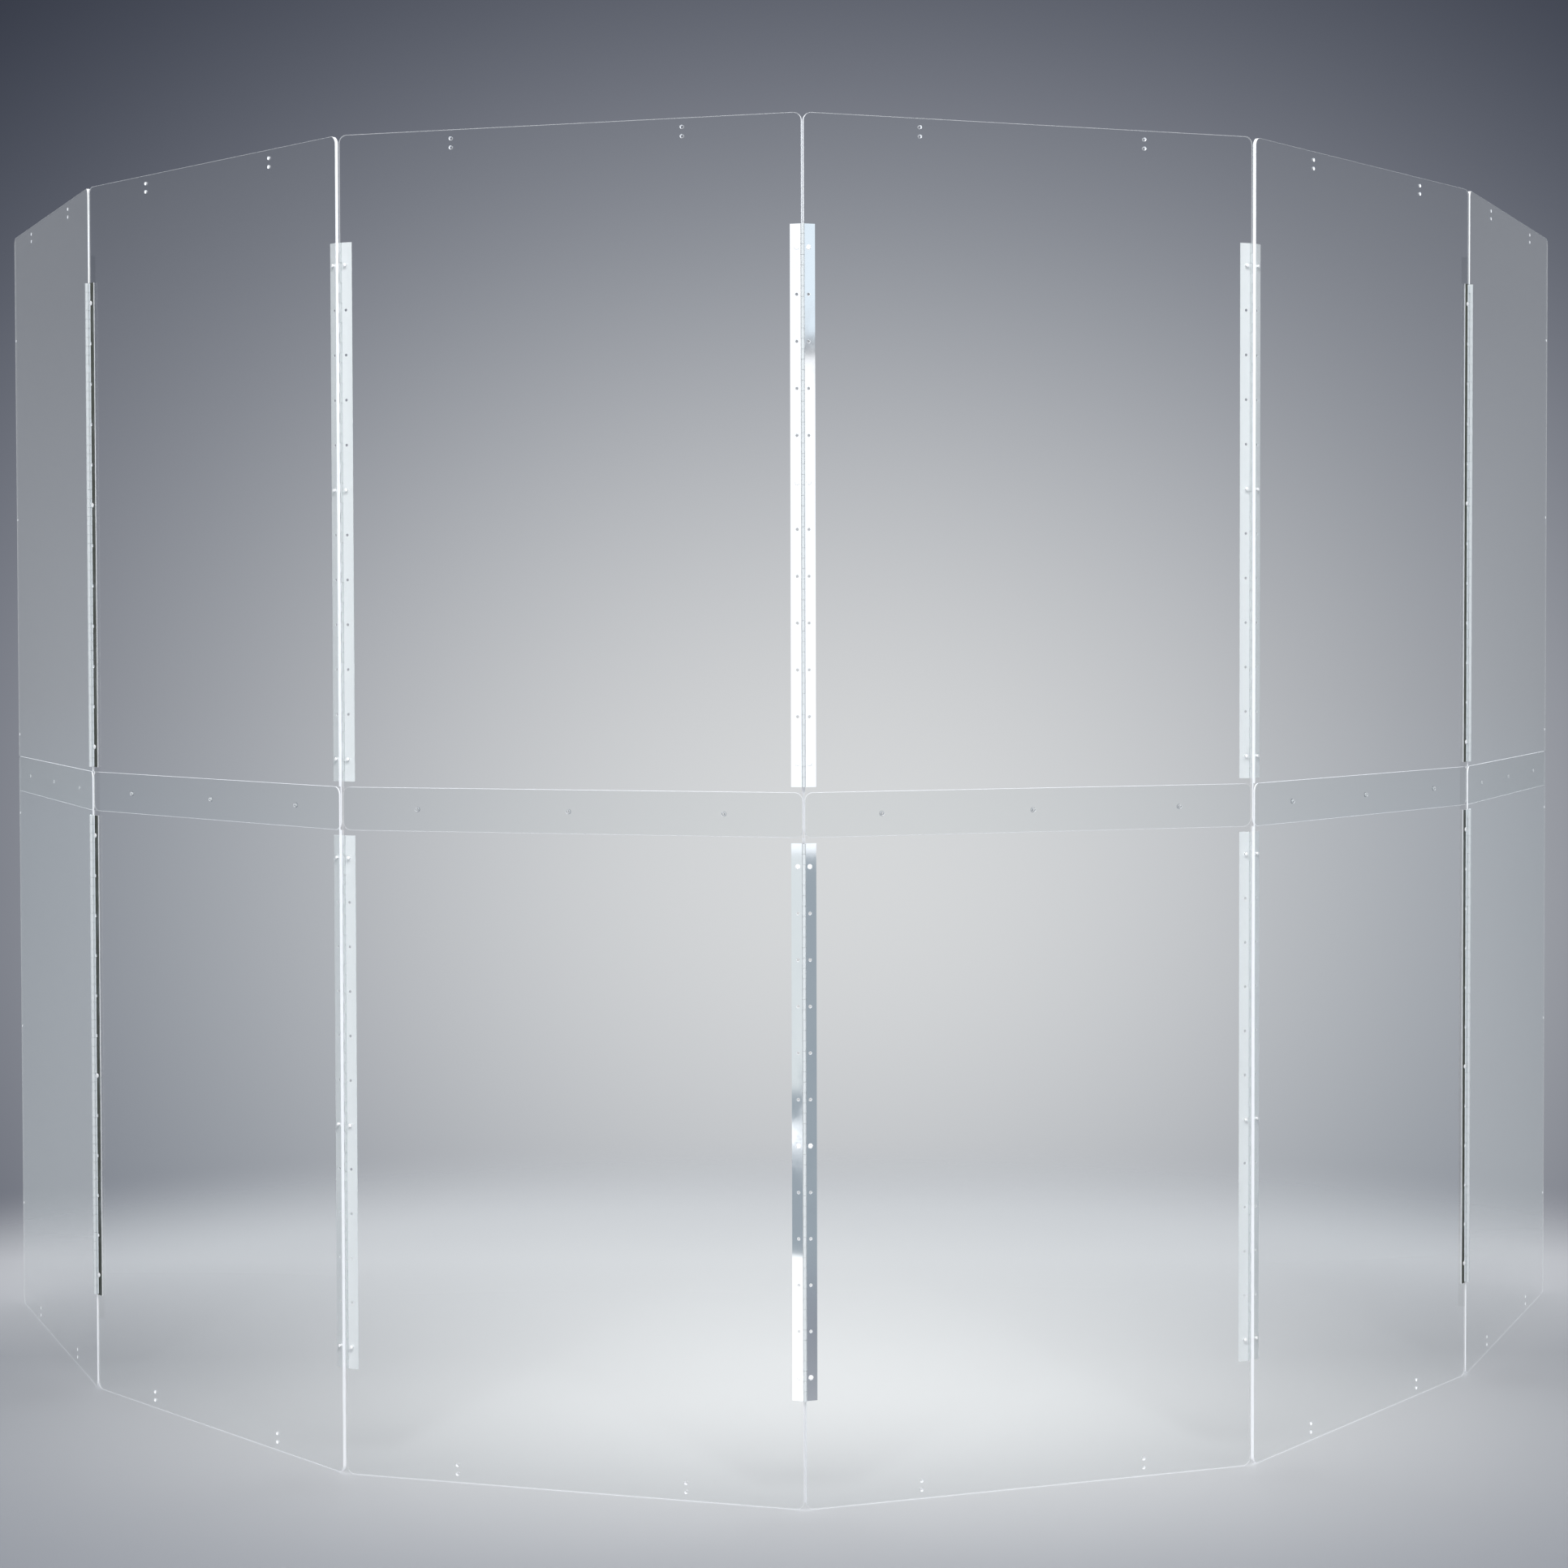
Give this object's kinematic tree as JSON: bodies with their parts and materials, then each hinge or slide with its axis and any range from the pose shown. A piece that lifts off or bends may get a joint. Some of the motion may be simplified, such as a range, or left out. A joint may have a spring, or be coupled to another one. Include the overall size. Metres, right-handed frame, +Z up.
{
  "type": "drum shield",
  "caption": "Free-standing folding screen of clear hinged panels, stacked in tiers with a lap joint at mid-height, that stands in front of a drum kit.",
  "frame": {"origin": "on the floor, at the middle of the bounding box of the pictured pose", "axes": "+X to the right as the audience sees it, +Y towards the drummer, +Z up"},
  "size_m": [2.4662, 1.2452, 1.711],
  "materials": {
    "panel": "clear cast acrylic sheet with frosted edges",
    "stud": "clear moulded plastic",
    "leaf": "bright satin plate",
    "pin": "drawn wire"
  },
  "bodies": {
    "column_1": {"lower_panel_1": "panel", "lower_hinge_1_left_leaf": "leaf", "lower_hinge_1_pin": "pin", "upper_panel_1": "panel", "upper_hinge_1_left_leaf": "leaf", "upper_hinge_1_pin": "pin", "lap_stud_1_1": "stud", "lap_stud_1_2": "stud", "lap_stud_1_3": "stud"},
    "column_2": {"lower_panel_2": "panel", "lower_hinge_1_right_leaf": "leaf", "lower_hinge_2_left_leaf": "leaf", "lower_hinge_2_pin": "pin", "upper_panel_2": "panel", "upper_hinge_1_right_leaf": "leaf", "upper_hinge_2_left_leaf": "leaf", "upper_hinge_2_pin": "pin", "lap_stud_2_1": "stud", "lap_stud_2_2": "stud", "lap_stud_2_3": "stud"},
    "column_3": {"lower_panel_3": "panel", "lower_hinge_2_right_leaf": "leaf", "lower_hinge_3_left_leaf": "leaf", "lower_hinge_3_pin": "pin", "upper_panel_3": "panel", "upper_hinge_2_right_leaf": "leaf", "upper_hinge_3_left_leaf": "leaf", "upper_hinge_3_pin": "pin", "lap_stud_3_1": "stud", "lap_stud_3_2": "stud", "lap_stud_3_3": "stud"},
    "column_4": {"lower_panel_4": "panel", "lower_hinge_3_right_leaf": "leaf", "lower_hinge_4_left_leaf": "leaf", "lower_hinge_4_pin": "pin", "upper_panel_4": "panel", "upper_hinge_3_right_leaf": "leaf", "upper_hinge_4_left_leaf": "leaf", "upper_hinge_4_pin": "pin", "lap_stud_4_1": "stud", "lap_stud_4_2": "stud", "lap_stud_4_3": "stud"},
    "column_5": {"lower_panel_5": "panel", "lower_hinge_4_right_leaf": "leaf", "lower_hinge_5_left_leaf": "leaf", "lower_hinge_5_pin": "pin", "upper_panel_5": "panel", "upper_hinge_4_right_leaf": "leaf", "upper_hinge_5_left_leaf": "leaf", "upper_hinge_5_pin": "pin", "lap_stud_5_1": "stud", "lap_stud_5_2": "stud", "lap_stud_5_3": "stud"},
    "column_6": {"lower_panel_6": "panel", "lower_hinge_5_right_leaf": "leaf", "upper_panel_6": "panel", "upper_hinge_5_right_leaf": "leaf", "lap_stud_6_1": "stud", "lap_stud_6_2": "stud", "lap_stud_6_3": "stud"}
  },
  "joints": [
    {"name": "seam_3", "type": "hinge", "parent": "column_3", "child": "column_4", "pos_m": [0.01692, -0.62021, 0.8555], "axis": [0, 0, -1], "range_deg": [-1.9, 215.1]},
    {"name": "seam_4", "type": "hinge", "parent": "column_4", "child": "column_5", "pos_m": [0.59339, -0.41124, 0.8555], "axis": [0, 0, 1], "range_deg": [-46.4, 115.6]},
    {"name": "seam_5", "type": "hinge", "parent": "column_5", "child": "column_6", "pos_m": [0.98363, 0.06173, 0.8555], "axis": [0, 0, -1], "range_deg": [-22.7, 194.3]},
    {"name": "seam_2", "type": "hinge", "parent": "column_3", "child": "column_2", "pos_m": [-0.56939, -0.44067, 0.8555], "axis": [0, 0, -1], "range_deg": [-45.2, 116.8]},
    {"name": "seam_1", "type": "hinge", "parent": "column_2", "child": "column_1", "pos_m": [-0.99244, 0.00319, 0.8555], "axis": [0, 0, 1], "range_deg": [-17.7, 199.3]}
  ]
}
